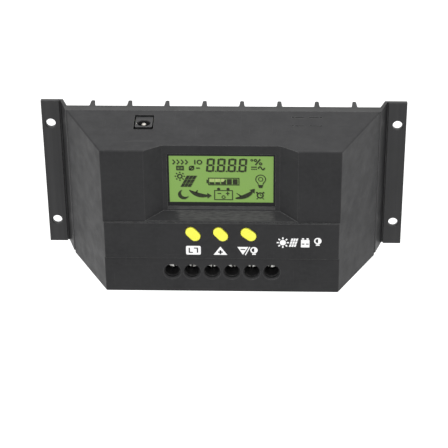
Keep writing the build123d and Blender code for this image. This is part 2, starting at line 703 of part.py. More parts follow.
# ---------------------------------------------------------------- buttons and switches
def button(x, slant):
    """Cap with a rounded top, a retaining flange under the cover and a stem on the switch."""
    top = strip_y - BUTTON_PROUD
    flange_y = (inner_front_y + BUTTON_FIT, inner_front_y + BUTTON_FIT + BUTTON_FLANGE)
    cap = oblong(x, BUTTON_Z, BUTTON_LENGTH, BUTTON_WIDTH, slant, (top, flange_y[0]))
    rim = cap.edges().filter_by(lambda e: abs(e.center().Y - top) < 0.01)
    cap = fillet(rim, 0.5)
    size = (BUTTON_LENGTH + 2 * BUTTON_RIM, BUTTON_WIDTH + 2 * BUTTON_RIM)
    flange = oblong(x, BUTTON_Z, *size, slant, flange_y)
    return cap + flange + rod(x, BUTTON_Z, STEM_R, (flange_y[1], PLUNGER_TIP_Y))


def plunger(x):
    """Round plunger of a tact switch, in its well."""
    return rod(x, BUTTON_Z, PLUNGER_R, (PLUNGER_TIP_Y, DISPLAY_FRONT_Y - SWITCH_HEIGHT + BUTTON_TRAVEL + 0.1))


def tact_switches():
    """Three square switch bodies, each with a well for its plunger."""
    front = DISPLAY_FRONT_Y - SWITCH_HEIGHT
    high = (BUTTON_Z - SWITCH_HALF, BUTTON_Z + SWITCH_HALF)
    bodies = []
    for x, _ in BUTTONS.values():
        body = block((x - SWITCH_HALF, x + SWITCH_HALF), (front, DISPLAY_FRONT_Y), high)
        bodies.append(body - rod(x, BUTTON_Z, PLUNGER_R + 0.1, (front - 1, front + SWITCH_WELL)))
    return group(bodies)


# ---------------------------------------------------------------- terminals
def terminal_block():
    """Housing with a screw tube, a cage chamber and a wire entry for each pole."""
    half = POLES * POLE_PITCH / 2
    body = block((-half, half), (BLOCK_FRONT_Y, MAIN_FRONT_Y), BLOCK_Z)
    chamber_y = (CHAMBER_FRONT_Y, CAGE_Y[1] + 0.2)
    chamber_z = (CAGE_Z[0] - 0.3, CAGE_Z[1] + 0.3)
    tools = []
    for x in pole_xs:
        tools.append(rod(x, POLE_Z, ACCESS_R - 0.1, (BLOCK_FRONT_Y - 1, SCREW_HEAD_Y + SCREW_HEAD_HEIGHT)))
        tools.append(rod(x, POLE_Z, SCREW_R + 0.25, (SCREW_HEAD_Y, chamber_y[1] - 2)))
        chamber_x = (x - CAGE_WIDTH / 2 - 0.2, x + CAGE_WIDTH / 2 + 0.2)
        tools.append(block(chamber_x, chamber_y, chamber_z))
        entry_x = (x - ENTRY_WIDTH / 2, x + ENTRY_WIDTH / 2)
        tools.append(block(entry_x, ENTRY_Y, (BLOCK_Z[0] - 1, chamber_z[0] + 1)))
        leg_x = (x - CONTACT_HALF - 0.1, x + CONTACT_HALF + 0.1)
        slot_z = (LEG_Z[0] - 0.1, LEG_Z[1] + 0.1)
        tools.append(block(leg_x, (CONTACT_Y[0] - 0.1, MAIN_FRONT_Y + 1), slot_z))
        tools.append(block(leg_x, (CONTACT_Y[0] - 0.1, CONTACT_Y[1] + 0.1), (CAGE_Z[1], slot_z[0])))
    return cut(body, tools)


def terminal_screw(x, turn):
    """M4 clamp screw with a dished head, a slot and a cross recess, turning in the housing."""
    seat = SCREW_HEAD_Y + SCREW_HEAD_HEIGHT - SCREW_CLEARANCE
    head = rod(x, POLE_Z, SCREW_HEAD_R, (SCREW_HEAD_Y, seat))
    crown = head.edges().filter_by(lambda e: abs(e.center().Y - SCREW_HEAD_Y) < 0.01)
    head = fillet(crown, SCREW_HEAD_R - SCREW_DISH_R - 0.1)
    shank = rod(x, POLE_Z, SCREW_R, (seat, SCREW_TIP_Y))
    end = shank.edges().filter_by(lambda e: abs(e.center().Y - SCREW_TIP_Y) < 0.01)
    shank = chamfer(end, 0.5)
    front = Pos(x, SCREW_HEAD_Y, POLE_Z) * Rot(0, turn, 0) * Rot(90, 0, 0)
    width, depth = SCREW_SLOT
    dish = Pos(0, 0, -SCREW_DISH_DEPTH / 2) * Cone(SCREW_DISH_FLOOR_R, SCREW_DISH_R, SCREW_DISH_DEPTH)
    slot = Box(3 * SCREW_HEAD_R, width, 2 * depth)
    cross = Box(width, SCREW_HEAD_R * 1.15, 2 * depth)
    return cut(head + shank, [front * dish, front * slot, front * cross])


def clamp_cage(x):
    """Square ring that the screw draws towards its head, with a tapped front wall."""
    half = CAGE_WIDTH / 2
    body = block((x - half, x + half), CAGE_Y, CAGE_Z)
    inside_y = (CAGE_Y[0] + CAGE_NUT, CAGE_Y[1] - CAGE_FLOOR)
    inside = block((x - half + CAGE_WALL, x + half - CAGE_WALL), inside_y, (CAGE_Z[0] - 1, CAGE_Z[1] + 1))
    ring = fillet(body.edges().filter_by(Axis.Z), 0.6) - inside
    return ring - rod(x, POLE_Z, SCREW_R + SCREW_CLEARANCE, (CAGE_Y[0] - 1, inside_y[0] + 1))


def terminal_contacts():
    """Six bent contact bars: a plate inside each cage and a leg down into the main board."""
    bars = []
    for x in pole_xs:
        wide = (x - CONTACT_HALF, x + CONTACT_HALF)
        plate = block(wide, CONTACT_Y, (CAGE_Z[0] - 0.2, LEG_Z[1]))
        leg = block(wide, (CONTACT_Y[0], MAIN_FRONT_Y - 0.05), LEG_Z)
        tail = block((x - TAIL_HALF, x + TAIL_HALF), (MAIN_FRONT_Y - 0.1, MAIN_FRONT_Y + BOARD + 1.2), LEG_Z)
        bars.append(plate + leg + tail)
    return group(bars)


# ---------------------------------------------------------------- DC jack
def dc_jack():
    """Moulded jack body with its round front and socket, lying on the main board."""
    x = (JACK_X - JACK_HALF_WIDTH, JACK_X + JACK_HALF_WIDTH)
    base = block(x, (JACK_AXIS_Y, JACK_Y[1]), JACK_Z)
    round_top = upright(JACK_X, JACK_AXIS_Y, JACK_AXIS_Y - JACK_Y[0], JACK_Z)
    flange = block(x, JACK_Y, (JACK_Z[1] - JACK_FLANGE, JACK_Z[1]))
    front = fillet(flange.edges().filter_by(Axis.Z).filter_by(lambda e: e.center().Y < JACK_AXIS_Y), 0.8)
    socket = upright(JACK_X, JACK_AXIS_Y, JACK_BORE_R, (JACK_Z[1] - JACK_BORE_DEPTH, JACK_Z[1] + 1))
    lead_in = Pos(JACK_X, JACK_AXIS_Y, JACK_Z[1] - 0.2) * Cone(JACK_BORE_R, JACK_BORE_R + 0.4, 0.4)
    slot_x = (JACK_X - JACK_HALF_WIDTH - 1, JACK_X - JACK_BORE_R + 0.4)
    slot_y = (JACK_AXIS_Y - LEAF_HALF - 0.2, JACK_AXIS_Y + LEAF_HALF + 0.2)
    spring_slot = block(slot_x, slot_y, (LEAF_FOOT_Z[0] - SCREW_CLEARANCE, JACK_Z[1] - 0.8))
    notch_x = (JACK_X - JACK_BORE_R - 0.95, JACK_X - JACK_BORE_R + 0.4)
    notch = block(notch_x, slot_y, (JACK_Z[1] - 1.0, JACK_Z[1] + 1))
    foot_slot = block(
        (slot_x[0], JACK_X - JACK_BORE_R - LEAF_SET_BACK + SCREW_CLEARANCE),
        (JACK_AXIS_Y, JACK_Y[1] + 1),
        (LEAF_FOOT_Z[0] - SCREW_CLEARANCE, LEAF_FOOT_Z[1] + SCREW_CLEARANCE),
    )
    pin_z = (JACK_Z[0] - 1, JACK_Z[1] - JACK_BORE_DEPTH + 1)
    pin_hole = upright(JACK_X, JACK_AXIS_Y, JACK_PIN_R + SCREW_CLEARANCE, pin_z)
    return cut(base + round_top + front, [socket, lead_in, spring_slot, notch, foot_slot, pin_hole])


def dc_jack_pin():
    """Centre pin with a rounded tip, and its rear solder tail."""
    tip_z = JACK_Z[1] - 0.3
    pin = upright(JACK_X, JACK_AXIS_Y, JACK_PIN_R, (JACK_Z[0] - 0.6, tip_z))
    pin = fillet(pin.edges().filter_by(lambda e: abs(e.center().Z - tip_z) < 0.01), 0.9)
    tail_z = (JACK_Z[0] - 1.2, JACK_Z[0] - 0.6)
    tail = block((JACK_X - 1.2, JACK_X + 1.2), (JACK_AXIS_Y - 1.0, MAIN_FRONT_Y), tail_z)
    return pin + tail


def dc_jack_spring():
    """Leaf contact in the left side of the socket, with a flat foot that runs back to the board."""
    wall_x = JACK_X - JACK_BORE_R
    flat_x = wall_x - LEAF_SET_BACK
    top_z = JACK_Z[1] - 0.3
    front = [(wall_x - 0.4, top_z), (wall_x + 0.1, top_z - 1.4), (wall_x + 0.55, top_z - 3.7)]
    front += [(flat_x, top_z - 7.1), (flat_x, LEAF_FOOT_Z[1])]
    back = [(x - LEAF_THICKNESS, z) for x, z in reversed(front)]
    face = Plane.XZ.offset(LEAF_HALF - JACK_AXIS_Y) * Polygon(*front, *back, align=None)
    leaf = extrude(face, amount=2 * LEAF_HALF, dir=(0, 1, 0))
    foot_x = (flat_x - LEAF_THICKNESS, flat_x)
    return leaf + block(foot_x, (JACK_AXIS_Y - LEAF_HALF, MAIN_FRONT_Y), LEAF_FOOT_Z)


# ---------------------------------------------------------------- write one file per piece
def pieces():
    """Each node's name and shape."""
    nodes = {
        "heatsink": heatsink(),
        "front_cover": front_cover(),
        "cover_screws": cover_screws(),
        "main_pcb": main_pcb(),
        "pcb_spacers": pcb_spacers(),
        "pcb_screws": pcb_screws(),
        "insulating_pads": insulating_pads(),
        "transistor_tabs": transistor_tabs(),
        "transistor_packages": transistor_packages(),
        "transistor_screws": transistor_screws(),
        "capacitors": capacitors(),
        "choke": choke(),
        "shunts": shunts(),
        "microcontroller": microcontroller(),
        "buzzer": buzzer(),
        "temperature_sensor": temperature_sensor(),
        "display_pcb": display_pcb(),
        "display_pcb_screws": display_pcb_screws(),
        "link_header": link_header(),
        "lcd_polariser": lcd_polariser(),
        "lcd_glass": lcd_glass(),
        "lcd_backlight": lcd_backlight(),
        "lcd_frame": lcd_frame(),
        "lcd_pins": lcd_pins(),
        "tact_switches": tact_switches(),
        "terminal_block": terminal_block(),
        "terminal_contacts": terminal_contacts(),
        "dc_jack": dc_jack(),
        "dc_jack_pin": dc_jack_pin(),
        "dc_jack_spring": dc_jack_spring(),
    }
    for name, (x, slant) in BUTTONS.items():
        nodes["button_" + name] = button(x, slant)
        nodes["plunger_" + name] = plunger(x)
    for i, x in enumerate(pole_xs, start=1):
        nodes[f"terminal_screw_{i}"] = terminal_screw(x, SCREW_TURNS[i - 1])
        nodes[f"clamp_cage_{i}"] = clamp_cage(x)
    return nodes


os.makedirs("parts", exist_ok=True)
for node, shape in pieces().items():
    export_step(shape, f"parts/{node}.step")
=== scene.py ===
import bmesh
import bpy
import math
from mathutils import Matrix, Vector


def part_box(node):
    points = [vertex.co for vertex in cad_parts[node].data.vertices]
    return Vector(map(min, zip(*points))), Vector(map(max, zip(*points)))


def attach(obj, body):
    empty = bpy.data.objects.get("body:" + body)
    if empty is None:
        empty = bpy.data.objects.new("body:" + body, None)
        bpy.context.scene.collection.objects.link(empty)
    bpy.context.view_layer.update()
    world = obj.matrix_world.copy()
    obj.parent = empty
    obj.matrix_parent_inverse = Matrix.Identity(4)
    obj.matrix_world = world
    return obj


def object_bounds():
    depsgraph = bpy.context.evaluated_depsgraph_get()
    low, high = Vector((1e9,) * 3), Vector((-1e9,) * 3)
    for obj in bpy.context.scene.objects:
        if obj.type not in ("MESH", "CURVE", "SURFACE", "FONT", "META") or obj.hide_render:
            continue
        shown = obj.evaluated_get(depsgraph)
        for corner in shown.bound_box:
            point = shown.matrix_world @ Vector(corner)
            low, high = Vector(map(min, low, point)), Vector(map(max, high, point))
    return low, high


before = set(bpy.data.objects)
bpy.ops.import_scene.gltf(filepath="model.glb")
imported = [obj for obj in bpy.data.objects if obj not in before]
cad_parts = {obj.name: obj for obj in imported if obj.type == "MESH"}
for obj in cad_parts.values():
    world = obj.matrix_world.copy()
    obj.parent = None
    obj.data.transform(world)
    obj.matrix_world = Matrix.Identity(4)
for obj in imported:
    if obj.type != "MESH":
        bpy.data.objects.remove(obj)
cad_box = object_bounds()

# The looks of a wall-mounted solar charge controller, built around its CAD frame.
# Sizes in this file are in millimetres, and MM turns them into the scene's metres.
MM = 0.001
FILM = 0.03                    # thickness of a printed film
SKY_ABOVE = 1.10               # strength of the light from above and from below
SKY_BELOW = 0.87


# ---------------------------------------------------------------- materials: the node kit
SOCKETS = {
    "colour": "Base Color",
    "metallic": "Metallic",
    "roughness": "Roughness",
    "specular": "Specular IOR Level",
    "coat": "Coat Weight",
    "coat_roughness": "Coat Roughness",
    "glow": "Emission Color",
    "glow_strength": "Emission Strength",
    "transmission": "Transmission Weight",
    "subsurface": "Subsurface Weight",
    "normal": "Normal",
}


def rgba(value):
    """A colour from one grey value or three channels. A socket passes through."""
    if isinstance(value, bpy.types.NodeSocket):
        return value
    if isinstance(value, (int, float)):
        value = (value, value, value)
    return (*value, 1.0)


class Finish:
    """One Principled material and the textures that feed it. Texture sizes are in millimetres."""

    def __init__(self, name, **settings):
        self.material = bpy.data.materials.new(name)
        self.material.use_nodes = True
        self.tree = self.material.node_tree
        self.shader = self.tree.nodes["Principled BSDF"]
        self.coordinates = self.node("TexCoord")
        self.place = self.coordinates.outputs["Object"]
        self.relief = None
        for key, value in settings.items():
            self.shader.inputs[SOCKETS[key]].default_value = rgba(value) if key == "glow" else value

    def node(self, kind, inputs=(), **settings):
        made = self.tree.nodes.new("ShaderNode" + kind)
        for key, value in settings.items():
            setattr(made, key, value)
        for socket, value in dict(inputs).items():
            if isinstance(value, bpy.types.NodeSocket):
                self.tree.links.new(value, made.inputs[socket])
            else:
                made.inputs[socket].default_value = value
        return made

    def spread(self, size):
        """Coordinates in which a lump of that size, or (x, y, z) size, is one unit."""
        sizes = size if isinstance(size, tuple) else (size, size, size)
        scale = [1 / (each * MM) for each in sizes]
        return self.node("Mapping", {"Vector": self.place, "Scale": scale}).outputs[0]

    def noise(self, size, detail=2.0, warp=0.0):
        inputs = {"Vector": self.spread(size), "Scale": 1.0, "Detail": detail, "Distortion": warp}
        return self.node("TexNoise", inputs).outputs[0]

    def cells(self, size, feature="F1", distance="EUCLIDEAN"):
        inputs = {"Vector": self.spread(size), "Scale": 1.0}
        return self.node("TexVoronoi", inputs, feature=feature, distance=distance)

    def math(self, operation, first, second=0.0):
        return self.node("Math", {0: first, 1: second}, operation=operation).outputs[0]

    def ramp(self, value, low, high, start=0.0, end=1.0):
        return self.node("MapRange", {0: value, 1: low, 2: high, 3: start, 4: end}).outputs[0]

    def mix(self, share, first, second):
        return self.node("Mix", {0: share, 6: rgba(first), 7: rgba(second)}, data_type="RGBA").outputs[2]

    def axis(self, vector, letter):
        return self.node("SeparateXYZ", {0: vector}).outputs[letter]

    def facing(self, letter, low=0.8, high=0.95):
        """1 where the surface faces along that axis, either way."""
        along = self.axis(self.coordinates.outputs["Normal"], letter)
        return self.ramp(self.math("ABSOLUTE", along), low, high)

    def specks(self, size, radius, keep):
        """Small round specks, one for each size mm, of which the share keep is shown."""
        cells = self.cells(size)
        dot = self.ramp(cells.outputs["Distance"], radius / size, 0.4 * radius / size)
        chosen = self.ramp(self.axis(cells.outputs["Color"], "X"), keep, keep - 0.02)
        return self.math("MULTIPLY", dot, chosen)

    def scratches(self, run, width, amount):
        """Fine lines of about run mm by width mm, in two slants."""
        lines = []
        for size in ((run, run, width), (width * 1.3, run, run * 0.7)):
            lines.append(self.ramp(self.noise(size, 1.0, 0.6), 0.70 - amount, 0.76 - amount))
        return self.math("MAXIMUM", *lines)

    def rounded(self, radius):
        """Softens the sharp edges' shading, and returns 1 on those edges."""
        soft = self.node("Bevel", {"Radius": radius * MM}, samples=4).outputs[0]
        flat = self.node("NewGeometry").outputs["Normal"]
        dot = self.node("VectorMath", {0: soft, 1: flat}, operation="DOT_PRODUCT").outputs["Value"]
        self.relief = soft
        return self.ramp(dot, 0.985, 0.80)

    def bump(self, height, depth):
        """Relief that many millimetres deep, on top of any earlier relief."""
        inputs = {"Height": height, "Distance": depth * MM, "Strength": 1.0}
        if self.relief:
            inputs["Normal"] = self.relief
        self.relief = self.node("Bump", inputs).outputs[0]

    def done(self, **sockets):
        if self.relief:
            sockets["normal"] = self.relief
        for key, value in sockets.items():
            self.tree.links.new(value, self.shader.inputs[SOCKETS[key]])
        return self.material


# ---------------------------------------------------------------- materials: one function each
def moulded_black(name, dark, light, grain, gloss, paint_ledge_light=False):
    """Black moulded plastic: spark-eroded grain, cloudy sheen, dust, hairline scratches, edges paler from
    wear and from a painted highlight, and on request a painted pool of light on the ledge.
    """
    finish = Finish(name, specular=gloss)
    edge = finish.rounded(0.45)
    cloud = finish.ramp(finish.noise(16.0, 3.0), 0.35, 0.65)
    mottle = finish.noise(2.2, 3.0)
    colour = finish.mix(cloud, dark, light)
    colour = finish.mix(finish.ramp(mottle, 0.3, 0.7, 0.0, 0.5), colour, tuple(1.35 * each for each in light))
    dust = finish.math("MULTIPLY", finish.specks(5.5, 0.17, 0.5), finish.ramp(cloud, 0.3, 0.9, 0.15, 0.8))
    colour = finish.mix(dust, colour, (0.16, 0.16, 0.155))
    scratch = finish.scratches(22.0, 0.22, 0.0)
    colour = finish.mix(finish.math("MULTIPLY", scratch, 0.2), colour, (0.06, 0.06, 0.06))
    # edges paler partly from wear and partly from a painted highlight along them
    wear_and_highlight = finish.math("MULTIPLY", edge, finish.ramp(finish.noise(3.0, 2.0), 0.3, 0.7, 0.4, 0.95))
    colour = finish.mix(wear_and_highlight, colour, (0.18, 0.18, 0.178))
    # painted light: the middle of the ledge below the display is lightened as if lit, its ends left dark as
    # painted shadow
    if paint_ledge_light:
        colour = finish.mix(painted_ledge_light(finish), colour, (0.075, 0.075, 0.073))
    finish.bump(finish.noise(0.32, 3.0), grain)
    finish.bump(mottle, 0.012)
    roughness = finish.ramp(finish.noise(7.0, 4.0), 0.3, 0.7, 0.44, 0.56)
    return finish.done(colour=colour, roughness=roughness)


def painted_ledge_light(finish):
    """1 on the middle of the sloping ledge below the display, with ragged ends: a painted pool of light,
    whose ends are left dark as painted shadow of the recess's sides.
    """
    low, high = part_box("lcd_polariser")
    up = finish.ramp(finish.axis(finish.coordinates.outputs["Normal"], "Z"), 0.5, 0.7)
    height = finish.axis(finish.place, "Z")
    above = finish.ramp(height, low.z - 3.4 * MM, low.z - 2.8 * MM)
    below = finish.ramp(height, high.z, high.z - 1.0 * MM)
    ragged = finish.math("MULTIPLY", finish.noise((2.5, 0.8, 0.8), 3.0), 8.0 * MM)
    sideways = finish.math("ABSOLUTE", finish.math("SUBTRACT", finish.axis(finish.place, "X"), 2.2 * MM))
    middle = finish.ramp(finish.math("ADD", sideways, ragged), 29.5 * MM, 26.5 * MM)
    patch = finish.ramp(finish.noise((3.0, 0.5, 0.5), 3.0), 0.3, 0.7, 0.25, 1.0)
    share = finish.math("MULTIPLY", up, above)
    band = finish.math("MULTIPLY", below, middle)
    return finish.math("MULTIPLY", finish.math("MULTIPLY", share, band), patch)


def anodised_aluminium():
    """Black anodised extrusion: die lines along its length, sawn ends, pale edges, nicked and with a painted
    glint.
    """
    finish = Finish("black_anodised_aluminium", specular=0.55, metallic=0.15)
    edge = finish.rounded(0.35)
    lines = finish.noise((0.22, 0.22, 60.0), 3.0)
    bands = finish.noise((3.5, 3.5, 160.0), 2.0)
    saw = finish.noise((24.0, 0.12, 3.0), 3.0)
    end = finish.facing("Z")
    colour = finish.mix(finish.ramp(bands, 0.3, 0.7), (0.018, 0.018, 0.019), (0.028, 0.028, 0.029))
    colour = finish.mix(finish.ramp(lines, 0.55, 0.8, 0.0, 0.5), colour, (0.045, 0.045, 0.045))
    front = finish.ramp(finish.axis(finish.place, "Y"), -8.0 * MM, -9.5 * MM)
    bright = finish.mix(front, finish.mix(saw, 0.005, 0.013), finish.mix(saw, 0.013, 0.028))
    colour = finish.mix(finish.math("MULTIPLY", end, 0.9), colour, bright)
    # pale edges: nicks of bare metal, and a painted glint such as the one on the wall holes' rims
    nick_and_glint = finish.math("MULTIPLY", edge, finish.ramp(finish.noise(1.6, 3.0), 0.42, 0.62))
    colour = finish.mix(finish.math("MULTIPLY", nick_and_glint, 0.55), colour, (0.20, 0.20, 0.20))
    colour = finish.mix(finish.specks(6.0, 0.16, 0.4), colour, (0.14, 0.14, 0.14))
    side = finish.math("SUBTRACT", 1.0, end)
    finish.bump(finish.math("MULTIPLY", lines, side), 0.018)
    finish.bump(finish.math("MULTIPLY", saw, end), 0.03)
    finish.bump(finish.noise(0.25, 2.0), 0.006)
    roughness = finish.ramp(finish.noise(9.0, 3.0), 0.3, 0.7, 0.38, 0.52)
    return finish.done(colour=colour, roughness=roughness)


def plated_metal(name, tint, rough, brushing=(0.1, 0.1, 0.1), stain=(0.30, 0.28, 0.25)):
    """Bright plated metal with fine tool marks and a little dulling."""
    finish = Finish(name, metallic=1.0)
    finish.rounded(0.15)
    dull = finish.ramp(finish.noise(1.1, 4.0), 0.42, 0.62)
    colour = finish.mix(finish.math("MULTIPLY", dull, 0.6), tint, stain)
    marks = finish.noise(brushing, 3.0)
    finish.bump(marks, 0.006)
    roughness = finish.ramp(dull, 0.0, 1.0, rough, rough + 0.2)
    return finish.done(colour=colour, roughness=roughness)


def circuit_board():
    """Green solder mask over angular tracks, with plated holes and pale glass-fibre edges."""
    finish = Finish("circuit_board", specular=0.5, coat=0.25)
    tracks = finish.cells((4.4, 4.4, 2.6), "DISTANCE_TO_EDGE", "MANHATTAN").outputs["Distance"]
    copper = finish.ramp(tracks, 0.10, 0.08)
    fine = finish.ramp(finish.cells((1.5, 1.5, 1.9), "DISTANCE_TO_EDGE").outputs["Distance"], 0.09, 0.05)
    holes = finish.specks(2.54, 0.42, 0.35)
    colour = finish.mix(finish.math("MAXIMUM", copper, fine), (0.008, 0.075, 0.028), (0.022, 0.17, 0.06))
    colour = finish.mix(holes, colour, (0.55, 0.55, 0.50))
    face = finish.facing("Y")
    weave = finish.noise((0.4, 0.1, 0.4), 2.0)
    colour = finish.mix(face, finish.mix(weave, (0.20, 0.21, 0.09), (0.33, 0.33, 0.17)), colour)
    finish.bump(finish.math("MAXIMUM", copper, holes), 0.035)
    roughness = finish.ramp(finish.noise(3.0, 3.0), 0.3, 0.7, 0.25, 0.4)
    return finish.done(colour=colour, roughness=roughness)


def thermal_pad():
    """Soft grey silicone sheet with a woven backing."""
    finish = Finish("thermal_pad", specular=0.3)
    weave = finish.noise((0.5, 0.5, 0.15), 1.0)
    cross = finish.noise((0.15, 0.5, 0.5), 1.0)
    both = finish.math("ADD", weave, cross)
    colour = finish.mix(finish.ramp(both, 0.7, 1.3), (0.22, 0.24, 0.26), (0.36, 0.38, 0.40))
    finish.bump(both, 0.03)
    return finish.done(colour=colour, roughness=finish.ramp(finish.noise(4.0), 0.3, 0.7, 0.65, 0.8))


def epoxy():
    """Moulded epoxy of the chips: fine matt grain and a faint sheen."""
    finish = Finish("moulded_epoxy", specular=0.4)
    finish.rounded(0.2)
    grain = finish.noise(0.12, 3.0)
    cloud = finish.ramp(finish.noise(2.5, 3.0), 0.3, 0.7)
    colour = finish.mix(cloud, (0.012, 0.012, 0.013), (0.026, 0.026, 0.027))
    finish.bump(grain, 0.01)
    return finish.done(colour=colour, roughness=finish.ramp(grain, 0.3, 0.7, 0.45, 0.6))


def capacitor_sleeve():
    """Shrunk plastic sleeve round the can, with a pale stripe down one side and a bare scored top."""
    finish = Finish("capacitor_sleeve", coat=0.3)
    finish.rounded(0.3)
    top = finish.facing("Y", 0.85, 0.97)
    wrinkles = finish.noise((1.6, 7.0, 1.6), 3.0)
    side = finish.axis(finish.coordinates.outputs["Normal"], "X")
    stripe = finish.ramp(side, 0.86, 0.90)
    colour = finish.mix(wrinkles, (0.008, 0.010, 0.03), (0.014, 0.018, 0.055))
    colour = finish.mix(stripe, colour, (0.55, 0.57, 0.6))
    colour = finish.mix(top, colour, finish.mix(finish.noise(0.5, 3.0), 0.45, 0.62))
    finish.bump(wrinkles, 0.05)
    return finish.done(colour=colour, metallic=top, roughness=finish.ramp(wrinkles, 0.3, 0.7, 0.25, 0.42))


def copper_winding():
    """Enamelled wire wound round the ring, seen as ridges that fan out from its centre, with painted shade in
    the grooves between turns.
    """
    finish = Finish("enamelled_winding", coat=0.5, metallic=0.8)
    low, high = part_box("choke")
    centre = (low + high) / 2
    shifted = finish.node("VectorMath", {0: finish.place, 1: centre}, operation="SUBTRACT").outputs[0]
    angle = finish.math("ARCTAN2", finish.axis(shifted, "Z"), finish.axis(shifted, "X"))
    turns = 40
    ridge = finish.math("SINE", finish.math("MULTIPLY", angle, turns))
    groove = finish.ramp(ridge, -1.0, 0.2)
    # painted shade: the grooves between the turns are darkened
    colour = finish.mix(groove, (0.10, 0.025, 0.006), (0.72, 0.26, 0.07))
    colour = finish.mix(finish.ramp(finish.noise(3.0), 0.4, 0.8, 0.0, 0.4), colour, (0.45, 0.12, 0.03))
    finish.bump(groove, 0.25)
    return finish.done(colour=colour, roughness=finish.ramp(finish.noise(0.6), 0.3, 0.7, 0.22, 0.38))


def lcd_face():
    """Yellow-green reflective display with painted shade that makes it a little darker to its upper right,
    and a faint film texture.
    """
    low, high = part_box("lcd_polariser")
    finish = Finish("lcd_film", specular=0.35, coat=0.12, coat_roughness=0.25)
    # painted shade: the film darkens towards its top and towards its right
    along = finish.ramp(finish.axis(finish.place, "X"), low.x, high.x)
    up = finish.ramp(finish.axis(finish.place, "Z"), low.z, high.z)
    glow = finish.math("ADD", finish.math("MULTIPLY", up, 0.35), finish.math("MULTIPLY", along, 0.25))
    colour = finish.mix(glow, (0.225, 0.405, 0.085), (0.185, 0.325, 0.070))
    patch = finish.ramp(finish.noise(9.0, 2.0), 0.3, 0.7, 0.0, 0.5)
    colour = finish.mix(patch, colour, (0.215, 0.37, 0.09))
    finish.bump(finish.noise(0.15, 2.0), 0.002)
    return finish.done(colour=colour, roughness=finish.ramp(finish.noise(1.0, 2.0), 0.3, 0.7, 0.36, 0.46))


def lcd_ink(name, dark, light):
    """Darkened liquid crystal, a little uneven in depth."""
    finish = Finish(name, specular=0.3)
    depth = finish.ramp(finish.noise(1.1, 3.0), 0.35, 0.65)
    colour = finish.mix(depth, dark, light)
    finish.bump(finish.noise(0.15, 2.0), 0.002)
    return finish.done(colour=colour, roughness=finish.ramp(depth, 0.0, 1.0, 0.38, 0.5))


def clear_glass():
    """Thin greenish display glass."""
    finish = Finish("display_glass", specular=0.5, transmission=0.9)
    tint = finish.mix(finish.noise(6.0, 2.0), (0.80, 0.90, 0.84), (0.88, 0.95, 0.90))
    return finish.done(colour=tint, roughness=finish.ramp(finish.noise(4.0), 0.3, 0.7, 0.03, 0.08))


def light_guide():
    """Milky acrylic with rows of moulded dots that scatter its light."""
    finish = Finish("light_guide", subsurface=0.3, specular=0.5)
    dots = finish.ramp(finish.cells(0.9).outputs["Distance"], 0.35, 0.25)
    colour = finish.mix(dots, (0.72, 0.80, 0.62), (0.92, 0.95, 0.85))
    finish.bump(dots, 0.03)
    return finish.done(colour=colour, roughness=finish.ramp(dots, 0.0, 1.0, 0.2, 0.5))


def white_plastic():
    """White moulded nylon of the display holder."""
    finish = Finish("white_plastic", specular=0.4, subsurface=0.1)
    finish.rounded(0.3)
    colour = finish.mix(finish.noise(5.0, 3.0), (0.74, 0.74, 0.70), (0.84, 0.84, 0.81))
    finish.bump(finish.noise(0.4, 2.0), 0.01)
    return finish.done(colour=colour, roughness=finish.ramp(finish.noise(2.0), 0.3, 0.7, 0.4, 0.55))


def button_plastic():
    """Bright yellow moulded caps, satin, with a painted highlight along their edges, and darker on their
    sides behind the cap's face.
    """
    finish = Finish("yellow_button_plastic", specular=0.4, subsurface=0.05)
    edge = finish.rounded(0.25)
    low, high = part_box("button_menu")
    depth = finish.ramp(finish.axis(finish.place, "Y"), low.y + 0.7 * MM, low.y + 0.9 * MM)
    colour = finish.mix(finish.ramp(finish.noise(3.0, 3.0), 0.3, 0.7), (0.96, 0.93, 0.080), (1.0, 0.97, 0.11))
    # painted highlight: paler yellow along the caps' edges
    colour = finish.mix(finish.math("MULTIPLY", edge, 0.3), colour, (1.0, 0.97, 0.30))
    # the sides behind the cap's face are darkened
    colour = finish.mix(finish.math("MULTIPLY", depth, 0.5), colour, (0.30, 0.26, 0.03))
    finish.bump(finish.noise(0.3, 3.0), 0.012)
    return finish.done(colour=colour, roughness=finish.ramp(finish.noise(1.2, 3.0), 0.3, 0.7, 0.38, 0.5))


def printed_white():
    """Pad-printed white ink: dense, slightly uneven, with pinholes."""
    finish = Finish("printed_white", specular=0.4)
    pinholes = finish.specks(0.9, 0.08, 0.2)
    patchy = finish.ramp(finish.noise(0.8, 3.0), 0.3, 0.7)
    colour = finish.mix(patchy, (0.93, 0.93, 0.93), (1.0, 1.0, 1.0))
    colour = finish.mix(finish.math("MULTIPLY", pinholes, 0.5), colour, (0.4, 0.4, 0.4))
    finish.bump(finish.noise(0.3, 3.0), 0.008)
    return finish.done(colour=colour, roughness=finish.ramp(patchy, 0.0, 1.0, 0.45, 0.6))


# ---------------------------------------------------------------- dressing the CAD nodes
def named(*starts):
    """CAD nodes whose names begin with any of these words."""
    return [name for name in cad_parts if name.startswith(starts)]


def dress(material, names):
    """Gives every material slot of those CAD nodes the material."""
    for name in names:
        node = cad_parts[name]
        if not node.material_slots:
            node.data.materials.append(material)
        for slot in node.material_slots:
            slot.material = material


